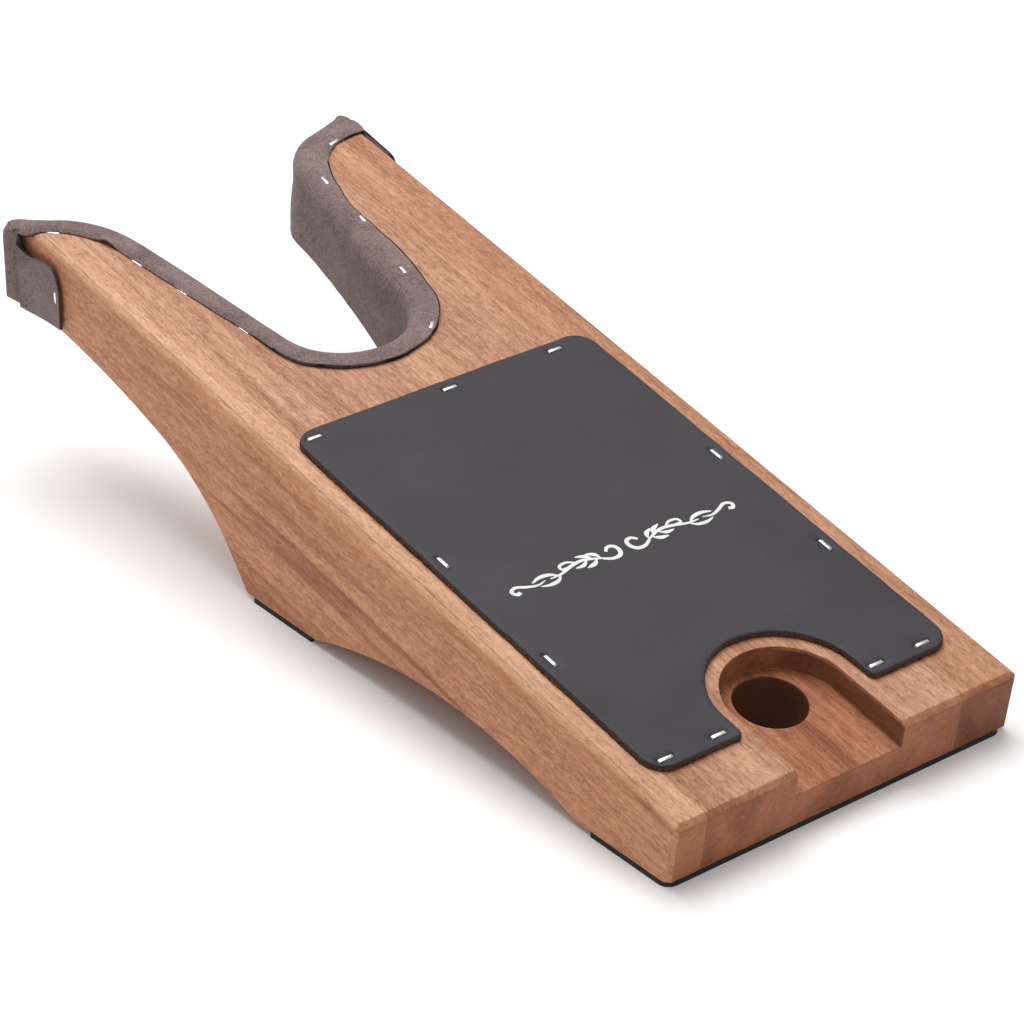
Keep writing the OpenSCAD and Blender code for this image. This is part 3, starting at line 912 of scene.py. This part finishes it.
    rings = tab_columns(-1)
    start = len(rings)
    for (p, n), run in zip(walk, runs):
        steady = smooth_step(6, 12, min(run, total - run))
        reach = between(FLAP_WIDTHS, run) + 0.2 * steady * ripple(run, 0, 5, 2.0)
        q = p - n * between(STAND_OFF, run)
        wall = wall_column(q, n, fold_start(q, run), run)
        rings.append((wall, over_column(p, n, run, reach)))
    rings += reversed(tab_columns(1))
    ids = [(add_column(wall), add_column(over) if over else None) for wall, over in rings]
    cut_faces = []
    for i, ((wall_a, over_a), (wall_b, over_b)) in enumerate(zip(ids, ids[1:])):
        both = over_a and over_b
        rows_a, rows_b = (wall_a + over_a, wall_b + over_b) if both else (wall_a, wall_b)
        faces += zip(rows_a, rows_a[1:], rows_b[1:], rows_b)
        along = i - start
        if 0 <= along < len(runs) and CUT_SHOWS[0] < runs[along] < CUT_SHOWS[1]:
            cut_faces.append(len(faces) - 1)
    mesh = new_mesh("suede_lining", points, faces, material, edge)
    for i in cut_faces:
        mesh.polygons[i].material_index = 1
    with editing(mesh) as work:
        bmesh.ops.remove_doubles(work, verts=work.verts, dist=2e-5)
        bmesh.ops.recalc_face_normals(work, faces=work.faces)
        level = [face for face in work.faces if abs(face.normal.z) > 0.8]
        if max(level, key=lambda face: face.calc_center_median().z).normal.z < 0:
            bmesh.ops.reverse_faces(work, faces=work.faces)
    lining = add_object("suede_lining", mesh)
    wall = lining.modifiers.new("thickness", "SOLIDIFY")
    wall.thickness, wall.offset, wall.material_offset_rim = SUEDE_THICKNESS * MM, -1, 1
    plain(lining)
    lining.data.shade_smooth()
    finish_piece(lining, "heel_lining")
    staples = []
    for (index, _, sunk), dent in zip(spots, dents):
        ahead = walk[index + 1][0] - walk[index - 1][0]
        height = deck_height(dent.y) + (SUEDE_TOP - sunk) - side_round(dent.x)
        turn = deck_turn(atan2(ahead.y, ahead.x))
        staples.append((place(dent.x, dent.y, height), turn))
    return staples


# Leather panel


def panel_staple_places():
    """Places of the panel's staples as (x, u, turn)."""
    low = PANEL_START + 3.2
    side = PANEL_HALF_WIDTH - 3.6
    high = PANEL_START + PANEL_LENGTH - 3.6
    places = [(-28.5, low, 0), (26.5, low, 0), (-46.3, low, 0), (43.2, low, 0)]
    places += [(x, PANEL_START + up, pi / 2) for x in (-side, side) for up in (48, 94)]
    return places + [(x, high, 0) for x in (-46, 1, 39)]


def panel_swell(x, u):
    """Height of the panel's face over its plain level, with a dent at each staple."""
    height = 0.10 * ripple(x, u, 26, 2.0)
    for sx, su, turn in panel_staple_places():
        dx, du, c, s = x - sx, u - su, cos(turn), sin(turn)
        along, aside = dx * c + du * s, du * c - dx * s
        height -= 0.32 * exp(-((along / 3.6) ** 2) - (aside / 1.7) ** 2)
        for end in (-1, 1):
            height -= 0.75 * exp(-(((along - end * 2.3) / 0.75) ** 2) - (aside / 0.75) ** 2)
    return height


def panel_outline():
    top = PANEL_START + PANEL_LENGTH
    wide, bay = PANEL_HALF_WIDTH, BAY_RADIUS
    bay_corner = 1.6
    corners = [(bay, PANEL_START, bay_corner), (wide, PANEL_START, PANEL_CORNER)]
    corners += [(wide, top, PANEL_CORNER), (-wide, top, PANEL_CORNER)]
    corners += [(-wide, PANEL_START, PANEL_CORNER), (-bay, PANEL_START, bay_corner)]
    corners += [(*p, 0) for p in arc((0, RECESS_MIDDLE), bay, pi, 0, 1.0)]
    return evenly(rounded(corners, 0.8), 0.9)


def make_panel(face, edge):
    outline = [Vector(p) for p in panel_outline()]
    count = len(outline)
    alongs = [b - a for a, b in zip(outline[-1:] + outline, outline[1:] + outline[:1])]
    normals = [Vector((along.y, -along.x)).normalized() for along in alongs]

    def ring(inset, fray):
        result = []
        for p, n in zip(outline, normals):
            shift = 0.22 * ripple(p.x, p.y, 9, 4.0) + fray * ripple(p.x, p.y, 0.9, 8.0)
            result.append(p + n * (shift - inset))
        return result

    # Steps of the edge from the wood up: inset, height and fraying
    levels = [(0.0, 0.04, 0.15), (-0.05, 0.6, 0.22), (0.0, 1.2, 0.22), (0.05, 1.62, 0.12)]
    levels += [(0.22, 1.86, 0.05), (0.6, PANEL_THICKNESS, 0.0)]
    points, rings = [], []
    for inset, height, fray in levels:
        rings.append(len(points))
        for p in ring(inset, fray):
            rise = panel_swell(p.x, p.y) if height > 1.5 else 0.0
            points.append(on_deck(p.x, p.y, height + rise))
    faces = [tuple(reversed(range(count)))]
    for a, b in zip(rings, rings[1:]):
        faces += [(a + i, a + (i + 1) % count, b + (i + 1) % count, b + i) for i in range(count)]
    border = ring(levels[-1][0], 0.0)
    # Points inside the border: rows over the whole face, closer ones round each staple
    inner = []
    step, rise, fine = 1.5, 1.455, 0.45
    for i in range(-36, 37):
        for j in range(110):
            inner.append(Vector(((i + (j % 2) / 2) * step, PANEL_START + 1 + j * rise)))
    for sx, su, turn in panel_staple_places():
        a, b = fine * cos(turn), fine * sin(turn)
        for i in range(-8, 9):
            for j in range(-4, 5):
                inner.append(Vector((sx + i * a - j * b, su + i * b + j * a)))
    inner = [p for p in inner if inside(p, border)]
    keys, apart = {}, 0.35
    for p in inner:
        keys.setdefault((round(p.x / apart), round(p.y / apart)), p)
    inner = list(keys.values())
    loop = [(i, (i + 1) % count) for i in range(count)]
    flat, _, cut, origins, _, _ = delaunay_2d_cdt(border + inner, loop, [], 1, 1e-5)
    first = rings[-1]
    ids = []
    for p, origin in zip(flat, origins):
        known = [o for o in origin if o < count]
        if known:
            ids.append(first + known[0])
        else:
            ids.append(len(points))
            points.append(on_deck(p.x, p.y, PANEL_THICKNESS + panel_swell(p.x, p.y)))
    faces += [tuple(ids[i] for i in face) for face in cut]
    mesh = solid_mesh("leather_panel", points, faces, face, edge)
    for polygon in mesh.polygons[: 1 + 2 * count]:
        polygon.material_index = 1
    mesh.shade_smooth()
    finish_piece(add_object("leather_panel", mesh), "tread_panel")


def inside(point, outline):
    found = False
    for a, b in zip(outline, outline[1:] + outline[:1]):
        if (a.y > point.y) != (b.y > point.y):
            if point.x < (b.x - a.x) * (point.y - a.y) / (b.y - a.y) + a.x:
                found = not found
    return found


# Scroll printed across the panel

SCROLL_MIDDLE = Vector((-1.5, 91.8))
# Height of the first stroke over the leather, and the ribbons' thickness
INK_LIFT, INK_DEPTH = 0.045, 0.12
# Right half of the scroll: points from its middle outwards, and widths at start, middle and end
SCROLL_STROKES = [
    ([(5.6, 1.0), (4.2, 2.3), (2.4, 1.9), (1.8, 0.0), (3.0, -2.0), (5.6, -2.2), (8.2, -0.9)],
     (0.9, 1.3, 0.8)),
    ([(7.2, -1.2), (10.5, 0.3), (14.0, 1.3), (18.0, 0.8), (22.0, -0.4), (26.0, -0.6)],
     (0.5, 1.1, 0.4)),
    ([(8.4, -0.3), (9.2, 1.6), (11.4, 2.9)], (0.2, 1.4, 0.3)),
    ([(10.6, 0.4), (12.0, 2.2), (14.6, 3.3)], (0.2, 1.4, 0.3)),
    ([(9.6, -0.2), (11.6, -1.6), (14.2, -2.0)], (0.2, 1.4, 0.3)),
    ([(12.4, 0.8), (14.6, -0.6), (17.2, -0.6)], (0.2, 1.2, 0.3)),
    ([(15.6, 1.2), (18.0, 2.7), (20.6, 2.4), (20.8, 0.8), (19.0, 0.9)], (0.6, 0.9, 0.6)),
    ([(23.0, -0.7), (25.2, 0.9), (28.4, 1.3), (31.4, 0.4)], (0.3, 1.3, 0.4)),
    ([(22.4, -0.5), (24.4, -2.2), (27.4, -2.6), (30.2, -1.9)], (0.3, 1.2, 0.3)),
    ([(27.6, -0.4), (30.6, -1.0), (33.6, -0.1), (36.6, 1.2), (38.6, 0.2), (37.8, -1.4),
      (36.5, -1.0)], (0.3, 1.0, 1.2)),
]


def stroke_places(points, step=0.35):
    """Even places on a smooth curve through the points."""
    line = [Vector(p) for p in points]
    line = [line[0] * 2 - line[1]] + line + [line[-1] * 2 - line[-2]]
    result = []
    for a, b, c, d in zip(line, line[1:], line[2:], line[3:]):
        count = max(round((c - b).length / step), 2)
        for i in range(count):
            t = i / count
            bend = (c - a) * t + (a * 2 - b * 5 + c * 4 - d) * t**2 + (b * 3 - a - c * 3 + d) * t**3
            result.append(b + bend / 2)
    return result + [line[-2]]


def make_scroll(material):
    """Thin closed ribbons that lie on the panel's face."""
    points, faces = [], []
    for side in (-1, 1):
        for layer, (course, (start, middle, end)) in enumerate(SCROLL_STROKES):
            places = [Vector((side * p.x, p.y)) + SCROLL_MIDDLE for p in stroke_places(course)]
            last, first = len(places) - 1, len(points)
            for i, p in enumerate(places):
                along = (places[min(i + 1, last)] - places[max(i - 1, 0)]).normalized()
                share = i / last
                near = start if share < 0.5 else end
                width = near + (middle - near) * sin(pi * share)
                aside = Vector((-along.y, along.x)) * width / 2
                for q in (p + aside, p - aside):
                    level = PANEL_THICKNESS + panel_swell(q.x, q.y) + INK_LIFT + 0.002 * layer
                    points += [on_deck(q.x, q.y, level), on_deck(q.x, q.y, level - INK_DEPTH)]
            for a in range(first, first + 4 * last, 4):
                b = a + 4
                faces += [(a, a + 2, b + 2, b), (a + 1, b + 1, b + 3, a + 3)]
                faces += [(a, b, b + 1, a + 1), (a + 2, a + 3, b + 3, b + 2)]
            z = first + 4 * last
            faces += [(first, first + 1, first + 3, first + 2), (z, z + 2, z + 3, z + 1)]
    scroll = add_object("scroll_on_panel", solid_mesh("scroll_on_panel", points, faces, material))
    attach(scroll, "root")


# Staples


def staple_tree(material):
    """Geometry Nodes: a bent wire on every point, turned by the point's own "turn"."""
    tree = bpy.data.node_groups.new("wire_staples", "GeometryNodeTree")
    add = tree.interface.new_socket
    add("Places", in_out="INPUT", socket_type="NodeSocketGeometry")
    add("Staples", in_out="OUTPUT", socket_type="NodeSocketGeometry")
    sizes = {"Crown length": 4.9, "Leg length": 6.5, "Bend radius": 0.55}
    sizes |= {"Wire width": 1.2, "Wire thickness": 0.6}
    for name, value in sizes.items():
        add(name, in_out="INPUT", socket_type="NodeSocketFloat").default_value = value * MM
    make = Tree(tree)
    size = {name: make.node("NodeGroupInput", output=name) for name in ("Places", *sizes)}
    # Four points: a leg's foot, both ends of the crown, the other leg's foot
    side = make.node("GeometryNodeInputIndex") - 1.5
    leg = side.size().math("GREATER_THAN", 1.0)
    crown_x, depth = side.math("SIGN") * size["Crown length"] * 0.5, leg * size["Leg length"] * -1
    course = make.node("ShaderNodeCombineXYZ", {"X": crown_x, "Z": depth})
    line = make.node("GeometryNodeMeshLine", {"Count": 4})
    bent = make.node("GeometryNodeSetPosition", {"Geometry": line, "Position": course})
    curve = make.node("GeometryNodeMeshToCurve", {"Mesh": bent})
    bend = {"Curve": curve, "Radius": size["Bend radius"], "Count": 5}
    eased = make.node("GeometryNodeFilletCurve", bend, mode="POLY")
    section = {"Width": size["Wire thickness"], "Height": size["Wire width"]}
    profile = make.node("GeometryNodeCurvePrimitiveQuadrilateral", section)
    ease = {"Curve": profile, "Radius": size["Wire thickness"] * 0.38, "Count": 3}
    soft_profile = make.node("GeometryNodeFilletCurve", ease, mode="POLY")
    sweep = {"Curve": eased, "Profile Curve": soft_profile, "Fill Caps": True}
    wire = make.node("GeometryNodeCurveToMesh", sweep)
    turn = make.node("GeometryNodeInputNamedAttribute", {"Name": "turn"}, data_type="FLOAT_VECTOR")
    rotation = make.node("FunctionNodeEulerToRotation", {0: turn})
    spread = {"Points": size["Places"], "Instance": wire, "Rotation": rotation}
    placed = make.node("GeometryNodeInstanceOnPoints", spread)
    real = make.node("GeometryNodeRealizeInstances", {"Geometry": placed})
    painted = make.node("GeometryNodeSetMaterial", {"Geometry": real, "Material": material})
    smooth = make.node("GeometryNodeSetShadeSmooth", {0: painted})
    make.node("NodeGroupOutput", {0: smooth}, output=None)
    return tree


def make_staples(name, node_name, spots, tree, crown):
    """spots are (place of the crown's middle, matrix that turns a level staple)."""
    mesh = new_mesh(name, [p for p, _ in spots], [])
    turns = mesh.attributes.new("turn", "FLOAT_VECTOR", "POINT")
    for entry, (_, matrix) in zip(turns.data, spots):
        entry.vector = matrix.to_euler()
    row = add_object(name, mesh)
    step = row.modifiers.new("wires", "NODES")
    step.node_group = tree
    step[tree.interface.items_tree["Crown length"].identifier] = crown * MM
    plain(row)
    finish_piece(row, node_name)


def deck_turn(turn):
    return Matrix.Rotation(DECK, 3, "X") @ Matrix.Rotation(turn, 3, "Z")


# Putting it together

make_camera()

corners = [(-6, -6, 0), (6, -6, 0), (6, 6, 0), (-6, 6, 0)]
floor = add_object("floor", new_mesh("floor", corners, [(0, 1, 2, 3)], studio_floor()))

world = bpy.data.worlds.new("studio")
world.use_nodes = True
sky = world.node_tree.nodes["Background"].inputs
sky["Color"].default_value = (1, 1, 1, 1)
sky["Strength"].default_value = 0.38
bpy.context.scene.world = world
make_light()
bpy.context.scene.view_settings.view_transform = "Standard"

body = make_body()
for side, low, high, kind, slot, colours, shift, ring_turn, end_tone in (
    ("left", -HALF_WIDTH - 1, LEFT_JOINT, "stave", "wood_light",
     ((238, 188, 152), (196, 140, 107), (112, 68, 46)), (31, 57, 13), 0.5, 0.78),
    ("middle", LEFT_JOINT, RIGHT_JOINT, "board", "wood_middle",
     ((224, 172, 140), (170, 116, 86), (112, 67, 46)), (127, 411, 59), -0.7, 0.85),
    ("right", RIGHT_JOINT, HALF_WIDTH + 1, "stave", "wood_light",
     ((222, 168, 132), (172, 116, 84), (108, 64, 44)), (211, 173, 97), 0.9, 0.50),
):
    name = "wood_" + side
    paints = [paint(*colour) for colour in colours]
    material = wood(f"{name}_{kind}", *paints, shift, ring_turn, end_tone, side == "left")
    finish_piece(make_stave(name, body, low, high, material), "stave_" + side)
bpy.data.objects.remove(body)

lining_spots = make_lining(suede(), suede_edge())
make_panel(leather_face(), leather_edge())
make_scroll(white_print())

tree = staple_tree(steel_wire())
height = PANEL_THICKNESS - 0.28
spots = [(on_deck(x, u, height), deck_turn(turn)) for x, u, turn in panel_staple_places()]
make_staples("staples_in_panel", "panel_staples", spots, tree, 4.6)
make_staples("staples_in_lining", "lining_staples", lining_spots, tree, 4.4)
spots = []
for side in (-1, 1):
    x, z = HALF_WIDTH + TAB_STAND_OFF[side] - 0.45, deck_height(TAB_STAPLE_S) - TAB_STAPLE_DEPTH
    spots.append((place(side * x, TAB_STAPLE_S, z), Matrix.Rotation(side * pi / 2, 3, "Y")))
make_staples("staples_in_tabs", "tab_staples", spots, tree, 4.4)

rubber = pad_rubber()
for name in ("front_pad", "rear_pad"):
    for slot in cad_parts[name].material_slots:
        slot.material = rubber
